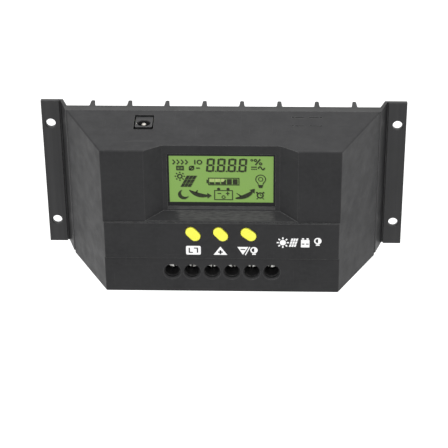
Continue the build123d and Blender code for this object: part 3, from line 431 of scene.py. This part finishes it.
def dress_frame():
    zinc = (0.66, 0.66, 0.64)
    nickel = (0.70, 0.68, 0.63)
    tin = (0.62, 0.62, 0.61)
    brass = (0.72, 0.53, 0.22)
    copper = (0.75, 0.40, 0.24)
    cover_dark, cover_light = (0.0122, 0.0122, 0.0132), (0.0174, 0.0174, 0.0184)
    cover = moulded_black("cover_plastic", cover_dark, cover_light, 0.022, 0.32, paint_ledge_light=True)
    terminal = moulded_black("terminal_plastic", (0.006, 0.006, 0.007), (0.009, 0.009, 0.010), 0.004, 0.5)
    housing = moulded_black("small_part_plastic", (0.010, 0.010, 0.011), (0.016, 0.016, 0.017), 0.008, 0.5)
    dress(anodised_aluminium(), ["heatsink"])
    dress(cover, ["front_cover"])
    dress(terminal, ["terminal_block"])
    dress(housing, ["dc_jack", "buzzer", "tact_switches", "link_header"])
    fixings = named("cover_screws", "pcb_screws", "display_pcb_screws")
    dress(plated_metal("zinc_plated_steel", zinc, 0.3), fixings)
    dress(plated_metal("transistor_screw_steel", zinc, 0.35), ["transistor_screws"])
    dress(plated_metal("terminal_screw_steel", zinc, 0.26), named("terminal_screw_"))
    dress(plated_metal("clamp_steel", nickel, 0.3), named("clamp_cage_"))
    dress(plated_metal("nickel_contact", nickel, 0.2), ["dc_jack_pin", "dc_jack_spring"])
    dress(plated_metal("tinned_metal", tin, 0.4, (0.1, 2.0, 0.1)), ["transistor_tabs", "lcd_pins"])
    turned_brass = plated_metal("brass", brass, 0.28, (0.1, 1.0, 0.1), (0.35, 0.22, 0.08))
    dress(turned_brass, ["pcb_spacers", "terminal_contacts"])
    dress(plated_metal("copper_alloy", copper, 0.32, (2.0, 0.1, 0.1), (0.30, 0.13, 0.07)), ["shunts"])
    dress(circuit_board(), ["main_pcb", "display_pcb"])
    dress(thermal_pad(), ["insulating_pads"])
    dress(epoxy(), ["transistor_packages", "microcontroller", "temperature_sensor"] + named("plunger_"))
    dress(capacitor_sleeve(), ["capacitors"])
    dress(copper_winding(), ["choke"])
    dress(lcd_face(), ["lcd_polariser"])
    dress(clear_glass(), ["lcd_glass"])
    dress(light_guide(), ["lcd_backlight"])
    dress(white_plastic(), ["lcd_frame"])
    dress(button_plastic(), named("button_"))


# ---------------------------------------------------------------- flat artwork
def arc(centre, radius, start, end, steps=16):
    """Points on a circle from start to end, in degrees."""
    angles = [math.radians(start + (end - start) * i / steps) for i in range(steps + 1)]
    return [Vector((centre[0] + radius * math.cos(a), centre[1] + radius * math.sin(a))) for a in angles]


def bend(start, middle, end, steps=14):
    """Points on a curve from start to end that leans towards middle."""
    start, middle, end = Vector(start), Vector(middle), Vector(end)
    shares = [i / steps for i in range(steps + 1)]
    return [start * (1 - t) ** 2 + middle * 2 * t * (1 - t) + end * t * t for t in shares]


def across(points, i):
    """The unit vector at right angles to a run of points, at point i."""
    run = Vector(points[min(i + 1, len(points) - 1)]) - Vector(points[max(i - 1, 0)])
    run.normalize()
    return Vector((-run.y, run.x))


class Artwork:
    """Flat shapes on a plane that faces forwards. Points are (right, up) in mm from its origin."""

    def __init__(self, name, origin, surface_y, thickness=FILM):
        self.name = name
        self.origin = origin
        self.rear = surface_y
        self.front = surface_y - thickness * MM
        self.bm = bmesh.new()

    def ring_of_points(self, points, y):
        left, bottom = self.origin
        return [self.bm.verts.new((left + x * MM, y, bottom + z * MM)) for x, z in points]

    def polygon(self, points):
        """A closed shape from its outline, as a thin solid."""
        front = self.ring_of_points(points, self.front)
        rear = self.ring_of_points(points, self.rear)
        self.bm.faces.new(front)
        self.bm.faces.new(rear[::-1])
        self.wall(front, rear)

    def wall(self, front, rear):
        for i in range(len(front)):
            self.bm.faces.new((front[i - 1], rear[i - 1], rear[i], front[i]))

    def frame(self, outer, inner):
        """A closed band between two outlines with as many points as each other."""
        loops = [self.ring_of_points(points, y) for points in (outer, inner) for y in (self.front, self.rear)]
        outer_front, outer_rear, inner_front, inner_rear = loops
        self.wall(outer_front, outer_rear)
        self.wall(inner_rear, inner_front)
        self.wall(inner_front, outer_front)
        self.wall(outer_rear, inner_rear)

    def disc(self, centre, radius):
        self.polygon(arc(centre, radius, 0, 337.5, 15))

    def ring(self, centre, outer, inner):
        self.frame(arc(centre, outer, 0, 345, 23), arc(centre, inner, 0, 345, 23))

    def bar(self, left, bottom, right, top):
        self.polygon([(left, bottom), (right, bottom), (right, top), (left, top)])

    def box_outline(self, left, bottom, right, top, line):
        outer = [(left, bottom), (right, bottom), (right, top), (left, top)]
        inner = [
            (left + line, bottom + line),
            (right - line, bottom + line),
            (right - line, top - line),
            (left + line, top - line),
        ]
        self.frame(outer, inner)

    def stroke(self, points, start_width, end_width=None, swell=0.0):
        """A line along the points, which may taper, or swell in the middle."""
        end_width = start_width if end_width is None else end_width
        left, right = [], []
        for i, point in enumerate(points):
            share = i / (len(points) - 1)
            width = start_width + (end_width - start_width) * share + 4 * swell * share * (1 - share)
            half = across(points, i) * width / 2
            left.append(Vector(point) + half)
            right.append(Vector(point) - half)
        self.polygon(right + left[::-1])

    def build(self, material, body):
        bmesh.ops.recalc_face_normals(self.bm, faces=self.bm.faces)
        mesh = bpy.data.meshes.new(self.name)
        self.bm.to_mesh(mesh)
        self.bm.free()
        mesh.materials.append(material)
        piece = bpy.data.objects.new(self.name, mesh)
        bpy.context.scene.collection.objects.link(piece)
        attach(piece, body)
        return piece


# ---------------------------------------------------------------- pictograms that both kinds of artwork share
def sun(art, centre, radius, line):
    """A ring with eight rays."""
    art.ring(centre, radius, radius - line)
    for i in range(8):
        spoke = [arc(centre, reach, 45 * i, 45 * i, 1)[0] for reach in (radius * 1.3, radius * 1.85)]
        art.stroke(spoke, line)


def crescent(art, centre, radius):
    """A moon, open to the upper right."""
    tilt = 42
    offset = 0.52 * radius
    hollow_radius = 0.84 * radius
    half = math.acos((radius ** 2 + offset ** 2 - hollow_radius ** 2) / (2 * radius * offset))
    inner_half = math.degrees(math.atan2(radius * math.sin(half), radius * math.cos(half) - offset))
    half = math.degrees(half)
    hollow = arc(centre, offset, tilt, tilt, 1)[0]
    outer = arc(centre, radius, tilt + half, tilt + 360 - half, 22)
    inner = arc(hollow, hollow_radius, tilt + 360 - inner_half, tilt + inner_half, 18)
    art.polygon(outer + inner[1:-1])


def solar_panel(art, left, bottom, width, height, lean, gap, columns=3, rows=3):
    """Slanted dark cells, with thin gaps between them."""
    for i in range(columns):
        for j in range(rows):
            low, high = j / rows, (j + 1) / rows
            near = left + width * i / columns + gap
            far = left + width * (i + 1) / columns
            base = bottom + height * low + gap
            crown = bottom + height * high
            art.polygon([
                (near + lean * low, base),
                (far + lean * low, base),
                (far + lean * high, crown),
                (near + lean * high, crown),
            ])


def lamp(art, centre, radius, line):
    """A bulb outline with a filament and a solid screw base."""
    outer = arc(centre, radius, -52, 232, 24)
    art.stroke(outer, line)
    neck = radius * 0.55
    shoulder = centre[1] - radius * 0.80
    foot = centre[1] - radius * 1.25
    for side in (-1, 1):
        upper = (centre[0] + side * radius * 0.62, shoulder)
        lower = (centre[0] + side * neck * 0.8, foot)
        art.stroke([upper, lower], line)
    art.ring(centre, radius * 0.52, radius * 0.52 - line * 0.8)
    art.polygon([
        (centre[0] - neck, foot - line / 2),
        (centre[0] - neck * 0.6, foot - radius * 0.8),
        (centre[0] + neck * 0.6, foot - radius * 0.8),
        (centre[0] + neck, foot - line / 2),
    ])


def swept_arrow(art, start, middle, end, widths, head):
    """A curved arrow with a thick body. Widths are at its start, at its end, and the swell between."""
    points = bend(start, middle, end)
    art.stroke(points, *widths)
    side = across(points, len(points) - 1)
    run = Vector((side.y, -side.x))
    tip = points[-1] + run * head
    art.polygon([points[-1] + side * head * 0.75, points[-1] - side * head * 0.75, tip])


# ---------------------------------------------------------------- display artwork
def digit(art, left, bottom, width, height, line, lean):
    """One figure with all seven segments, leaning to the right."""
    gap = line * 0.12
    half = height / 2

    def slanted(points):
        return [(left + x + lean * y / height, bottom + y) for x, y in points]

    for y in (0.0, half - line / 2, height - line):
        art.polygon(slanted([
            (line * 0.75 + gap, y + line / 2),
            (line + gap, y),
            (width - line - gap, y),
            (width - line * 0.75 - gap, y + line / 2),
            (width - line - gap, y + line),
            (line + gap, y + line),
        ]))
    for x in (0.0, width - line):
        for low, high in ((gap, half - gap), (half + gap, height - gap)):
            art.polygon(slanted([
                (x, low + line * 0.4),
                (x + line / 2, low),
                (x + line, low + line * 0.4),
                (x + line, high - line * 0.4),
                (x + line / 2, high),
                (x, high - line * 0.4),
            ]))


def readout(art):
    """Four figures with a point before each of the last three."""
    pitch = 5.35
    for i in range(4):
        digit(art, 18.35 + pitch * i, 17.35, 4.0, 7.75, 1.0, 0.65)
        if i:
            art.disc((17.9 + pitch * i, 17.8), 0.42)


def status_marks(art):
    """Rows of small marks on the left and the units' marks on the right, all without letters."""
    line = 0.7
    for i in range(4):
        left = 1.9 + 2.1 * i
        art.stroke([(left, 21.6), (left + 1.1, 22.9), (left, 24.2)], line)
    art.bar(12.6, 21.6, 13.25, 24.2)
    art.ring((15.2, 22.9), 1.4, 0.8)
    art.box_outline(3.6, 18.2, 7.4, 20.8, line)
    art.bar(4.7, 19.2, 6.3, 19.8)
    art.ring((11.2, 19.5), 1.4, 0.8)
    art.stroke([(10.0, 18.3), (12.4, 20.7)], line)
    art.bar(13.5, 19.2, 15.4, 19.85)
    art.ring((41.2, 24.2), 0.7, 0.25)
    art.stroke([(43.0, 21.5), (45.4, 24.8)], 0.75)
    art.ring((43.0, 24.1), 0.85, 0.3)
    art.ring((45.6, 22.2), 0.85, 0.3)
    art.bar(40.9, 20.0, 43.7, 20.6)
    for i in range(3):
        art.bar(40.9 + 1.05 * i, 18.8, 41.65 + 1.05 * i, 19.4)
    wave = bend((44.4, 19.4), (45.2, 21.5), (46.0, 19.7)) + bend((46.0, 19.7), (46.8, 17.9), (47.6, 20.0))[1:]
    art.stroke(wave, line)


BAR_CELLS = [20.1 + 2.9 * i for i in range(5)]     # left edge of each cell in the charge bar
BAR_CELL_WIDTH = 2.4


def charge_bar(art):
    """A lying battery with five cells: two dark, and three clear over a dark base."""
    art.box_outline(19.4, 9.8, 35.0, 14.1, 0.45)
    art.bar(18.6, 10.9, 19.3, 13.0)
    for left, top in zip(BAR_CELLS, (11.5, 11.5, 11.7, 13.3, 13.3)):
        art.bar(left, 10.35, left + BAR_CELL_WIDTH, top)
    art.polygon([(28.3, 11.7), (28.3, 13.3), (26.9, 11.7)])


def clear_cells(art):
    """The pale upper parts of the charge bar's first three cells."""
    for left, width in zip(BAR_CELLS, (2.4, 2.4, 1.5)):
        art.bar(left, 11.8, left + width, 13.45)


def battery_box(art):
    """An upright battery with two posts, marked plus and minus, and a small ring."""
    art.box_outline(22.3, 1.3, 31.7, 7.0, 0.42)
    for middle in (24.6, 29.3):
        art.disc((middle, 7.6), 0.8)
    art.bar(24.0, 4.85, 25.8, 5.35)
    art.bar(28.2, 4.85, 30.0, 5.35)
    for bottom in (4.0, 5.4):
        art.bar(28.85, bottom, 29.35, bottom + 0.8)
    art.ring((27.0, 3.0), 1.0, 0.6)


def alarm_clock(art):
    """A round clock with two bells, two feet and its hands."""
    centre = (45.4, 4.1)
    art.ring(centre, 1.8, 1.1)
    for side in (-1, 1):
        art.disc((centre[0] + side * 1.65, centre[1] + 1.6), 0.5)
        hip = (centre[0] + side * 1.2, centre[1] - 1.5)
        foot = (centre[0] + side * 1.8, centre[1] - 2.2)
        art.stroke([hip, foot], 0.45)
    art.stroke([centre, (centre[0], centre[1] + 0.95)], 0.35)
    art.stroke([centre, (centre[0] + 0.75, centre[1] - 0.1)], 0.35)


def draw_display(art):
    readout(art)
    status_marks(art)
    charge_bar(art)
    battery_box(art)
    alarm_clock(art)
    sun(art, (5.3, 14.8), 1.4, 0.65)
    solar_panel(art, 5.3, 8.6, 5.3, 6.6, 3.4, 0.16)
    crescent(art, (6.9, 4.3), 2.75)
    lamp(art, (45.6, 13.4), 2.45, 0.45)
    swept_arrow(art, (9.9, 6.9), (13.6, 3.4), (18.9, 3.7), (0.5, 1.2, 1.5), 2.2)
    art.stroke([(14.0, 6.9), (13.3, 5.4)], 0.4, 1.0)
    swept_arrow(art, (33.0, 2.3), (38.8, 2.9), (41.3, 6.2), (0.6, 1.2, 1.4), 2.2)
    art.stroke([(33.5, 5.3), (35.8, 3.6)], 0.3, 0.9)


def make_display():
    """The cell's dark border, which also stands in as painted shade of the window's edges, its graphics, and
    their soft shadow on the reflector behind.
    """
    low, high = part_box("lcd_polariser")
    inset_x, inset_z = 2.0, 4.4              # from the film's corner to the lit area
    lit_width, lit_height = 52.0, 26.4
    shadow_shift = 0.28
    origin = (low.x + inset_x * MM, low.z + inset_z * MM)
    reach_x = inset_x - 0.1
    crown = (high.z - low.z) / MM - inset_z - 0.1
    outer = [(-reach_x, 0.1 - inset_z), (lit_width + reach_x, 0.1 - inset_z)]
    outer += [(lit_width + reach_x, crown), (-reach_x, crown)]
    inner = [(0, 0), (lit_width, 0), (lit_width, lit_height), (0, lit_height)]
    # the cell's dark border, widened to carry the painted shade that the window's walls throw on the display
    border = Artwork("lcd_border_and_painted_shade", origin, low.y)
    border.frame(outer, inner)
    border.build(lcd_ink("lcd_border_and_painted_shade", (0.004, 0.004, 0.005), (0.008, 0.008, 0.009)), "housing")
    shadow_origin = (origin[0] + shadow_shift * MM, origin[1] - shadow_shift * MM)
    shadow = Artwork("lcd_shadow", shadow_origin, low.y, 0.012)
    draw_display(shadow)
    shadow.build(lcd_ink("lcd_shadow", (0.13, 0.23, 0.05), (0.16, 0.28, 0.065)), "housing")
    clear = Artwork("lcd_clear_cells", origin, low.y, 0.02)
    clear_cells(clear)
    clear.build(lcd_ink("lcd_clear_cells", (0.36, 0.46, 0.16), (0.42, 0.52, 0.20)), "housing")
    segments = Artwork("lcd_segments", origin, low.y)
    draw_display(segments)
    segment_ink = lcd_ink("lcd_segments", (0.012, 0.016, 0.006), (0.026, 0.034, 0.012))
    segments.build(segment_ink, "housing")


# ---------------------------------------------------------------- printing on the strip
def rounded_end(art, inner_x, outer_x, low, high, radius):
    """A bar whose two corners on the outer side are rounded."""
    side = 1 if outer_x > inner_x else -1
    centre_x = outer_x - side * radius
    turn = 0 if side > 0 else 180
    top = arc((centre_x, high - radius), radius, 90, turn, 5)
    bottom = arc((centre_x, low + radius), radius, turn, 270 if side < 0 else -90, 5)
    art.polygon([(inner_x, high)] + top + bottom + [(inner_x, low)])


def menu_mark(art, centre):
    """A filled tile with two opposite corner brackets left open in it."""
    x, z = centre
    half_width, half_height = 3.75, 2.6
    line = 0.65
    gap = 0.3
    reach = 1.45
    left, right = x - 1.75, x + 1.75
    low, high = z - 0.95, z + 0.95
    bottom, top = z - half_height, z + half_height
    rounded_end(art, left - line, x - half_width, bottom, top, 0.7)
    rounded_end(art, right + line, x + half_width, bottom, top, 0.7)
    art.bar(left - line, z + reach, left, top)
    art.bar(left - line, bottom, left, low - line)
    art.bar(left, bottom, x - gap, low - line)
    art.bar(left, low, x - gap, top)
    art.bar(x - gap, bottom, x + gap, top)
    art.bar(x + gap, bottom, right, high)
    art.bar(x + gap, high + line, right, top)
    art.bar(right, high + line, right + line, top)
    art.bar(right, bottom, right + line, z - reach)


def triangle_mark(art, centre, tip, reach, plus):
    """A filled triangle with a plus or a minus left open. It goes tip mm up, and reach mm to each side."""
    x, z = centre
    up = 1 if tip > 0 else -1
    slope = 2 * abs(tip) / reach
    bar_z = z - 0.35 * tip
    thick = 0.42 if plus else 0.3
    arm = 1.2

    def edge(at_z):
        return abs(z + tip - at_z) / slope

    def slab(low, high, left, right):
        """Part of the triangle between two heights, cut off at left and right."""
        corners = [(max(left, -edge(low)), low), (min(right, edge(low)), low)]
        corners += [(min(right, edge(high)), high), (max(left, -edge(high)), high)]
        art.polygon([(x + across_x, at_z) for across_x, at_z in corners])

    base = z - tip
    blunt = z + 0.93 * tip
    under = bar_z - thick * up
    over = bar_z + thick * up
    arm_end = bar_z + arm * up
    arm_start = bar_z - arm * up
    if plus:
        slab(base, arm_start, -reach, reach)
        for left, right in ((-reach, -thick), (thick, reach)):
            slab(arm_start, under, left, right)
            slab(over, arm_end, left, right)
        slab(arm_end, blunt, -reach, reach)
    else:
        slab(base, under, -reach, reach)
        slab(over, blunt, -reach, reach)
    slab(under, over, -reach, -arm)
    slab(under, over, arm, reach)


def lamp_mark(art, centre):
    """A solid bulb with a half-moon left open in it, and its base."""
    x, z = centre
    radius = 1.9
    hollow = 1.2
    outer = arc(centre, radius, 90, 270, 12) + arc(centre, radius, 285, 435, 10)
    inner = arc(centre, hollow, 90, 270, 12)
    inner += [Vector((x + 0.15, z - hollow + 2 * hollow * (i + 1) / 12)) for i in range(11)]
    art.frame(outer, inner)
    art.bar(x - 0.95, z - 2.75, x + 0.95, z - 2.0)


def label_marks(art, left, right, bottom, top):
    """Bold sun, panel, battery and lamp in a row."""
    step = (right - left) / 4
    middle = (bottom + top) / 2
    height = top - bottom
    sun_at = (left + step * 0.48, middle)
    art.disc(sun_at, 1.6)
    for i in range(8):
        spoke = [arc(sun_at, reach, 45 * i, 45 * i, 1)[0] for reach in (2.0, 3.1)]
        art.stroke(spoke, 0.75)
    solar_panel(art, left + step * 0.98, bottom + 0.9, 3.7, height - 2.0, 1.3, 0.28, 3, 3)
    box_left = left + step * 2.12
    art.bar(box_left, bottom + 0.9, box_left + 4.3, bottom + 2.55)
    art.bar(box_left, bottom + 2.55, box_left + 0.45, bottom + 3.15)
    art.bar(box_left + 1.75, bottom + 2.55, box_left + 2.55, bottom + 3.15)
    art.bar(box_left + 3.85, bottom + 2.55, box_left + 4.3, bottom + 3.15)
    art.bar(box_left, bottom + 3.15, box_left + 4.3, top - 1.9)
    for post in (0.45, 2.75):
        art.bar(box_left + post, top - 1.7, box_left + post + 1.1, top - 0.9)
    lamp_mark(art, (right - 2.0, middle + 1.1))


def make_printing():
    """White marks under the buttons and on the right of the strip."""
    strip_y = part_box("front_cover")[0].y
    art = Artwork("printed_marks", (0.0, 0.0), strip_y)
    menu_mark(art, (-14.3, -18.5))
    triangle_mark(art, (-0.6, -18.6), 2.5, 3.5, True)
    triangle_mark(art, (10.8, -18.6), -2.35, 2.8, False)
    art.stroke([(12.0, -21.1), (14.3, -16.3)], 0.55)
    lamp_mark(art, (16.4, -18.15))
    label_marks(art, 28.3, 50.6, -17.1, -9.9)
    art.build(printed_white(), "housing")


# ---------------------------------------------------------------- stage
def make_floor():
    """A pale floor, far enough below for its shadow to fade out."""
    low, high = cad_box
    drop = 0.6
    reach = 12.0
    bm = bmesh.new()
    corners = [(-reach, -reach), (reach, -reach), (reach, reach), (-reach, reach)]
    bm.faces.new([bm.verts.new((x, y, low.z - drop)) for x, y in corners])
    mesh = bpy.data.meshes.new("floor")
    bm.to_mesh(mesh)
    bm.free()
    finish = Finish("pale_floor", specular=0.1, roughness=0.9, glow=1.0, glow_strength=0.2)
    paleness = finish.mix(finish.noise(400.0), (0.93, 0.93, 0.93), (0.95, 0.95, 0.95))
    mesh.materials.append(finish.done(colour=paleness))
    floor = bpy.data.objects.new("floor", mesh)
    bpy.context.scene.collection.objects.link(floor)
    floor.visible_diffuse = False
    floor.visible_glossy = False


def make_world():
    """A white backdrop that lights the object more from above than from below."""
    world = bpy.data.worlds.new("studio")
    world.use_nodes = True
    nodes = world.node_tree.nodes
    links = world.node_tree.links
    sky = nodes["Background"]
    sky.inputs["Color"].default_value = (1.0, 1.0, 1.0, 1.0)
    direction = nodes.new("ShaderNodeTexCoord")
    height = nodes.new("ShaderNodeSeparateXYZ")
    fall = nodes.new("ShaderNodeMapRange")
    fall.inputs["From Min"].default_value = -0.6
    fall.inputs["From Max"].default_value = 0.6
    fall.inputs["To Min"].default_value = SKY_BELOW
    fall.inputs["To Max"].default_value = SKY_ABOVE
    rays = nodes.new("ShaderNodeLightPath")
    backdrop = nodes.new("ShaderNodeMix")
    backdrop.inputs["B"].default_value = 1.0
    links.new(direction.outputs["Generated"], height.inputs[0])
    links.new(height.outputs["Z"], fall.inputs["Value"])
    links.new(fall.outputs[0], backdrop.inputs["A"])
    links.new(rays.outputs["Is Camera Ray"], backdrop.inputs["Factor"])
    links.new(backdrop.outputs[0], sky.inputs["Strength"])
    bpy.context.scene.world = world


def area_light(name, place, target, size, power):
    """A soft rectangular lamp, aimed at a point."""
    lamp_data = bpy.data.lights.new(name, "AREA")
    lamp_data.shape = "RECTANGLE"
    lamp_data.size, lamp_data.size_y = size
    lamp_data.energy = power
    light = bpy.data.objects.new(name, lamp_data)
    light.location = place
    light.rotation_mode = "QUATERNION"
    light.rotation_quaternion = (Vector(target) - Vector(place)).to_track_quat("-Z", "Y")
    bpy.context.scene.collection.objects.link(light)


def make_lights():
    area_light("key", (-0.35, -0.9, 0.9), (0.0, 0.0, 0.0), (0.7, 0.5), 3.0)
    area_light("overhead", (0.05, 0.25, 0.9), (0.0, -0.02, 0.0), (1.0, 0.6), 2.2)
    area_light("left_low", (-0.75, 0.25, -0.45), (-0.07, -0.03, 0.0), (0.5, 0.5), 0.5)
    area_light("right_low", (0.85, 0.2, -0.1), (0.07, -0.03, 0.0), (0.6, 0.6), 0.9)


def make_camera():
    """Looks down on the front from a little to the right, through a long lens."""
    place = Vector((0.02903, -0.77585, 0.43579))
    yaw = math.radians(1.89)
    pitch = math.radians(31.07)
    roll = math.radians(-0.487)
    forward = Vector((-math.sin(yaw) * math.cos(pitch), math.cos(yaw) * math.cos(pitch), -math.sin(pitch)))
    right = Vector((math.cos(yaw), math.sin(yaw), 0.0))
    up = right.cross(forward)
    level = Matrix((right, up, -forward)).transposed()
    data = bpy.data.cameras.new("camera")
    data.sensor_width = 36.0
    data.lens = 136.0
    data.shift_x = -0.0163
    data.shift_y = -0.001
    data.clip_start = 0.01
    camera = bpy.data.objects.new("camera", data)
    camera.matrix_world = Matrix.Translation(place) @ (level @ Matrix.Rotation(roll, 3, "Z")).to_4x4()
    bpy.context.scene.collection.objects.link(camera)
    bpy.context.scene.camera = camera


# ---------------------------------------------------------------- put it together
make_camera()
make_world()
make_lights()
make_floor()
dress_frame()
make_display()
make_printing()
bpy.context.scene.view_settings.view_transform = "Standard"
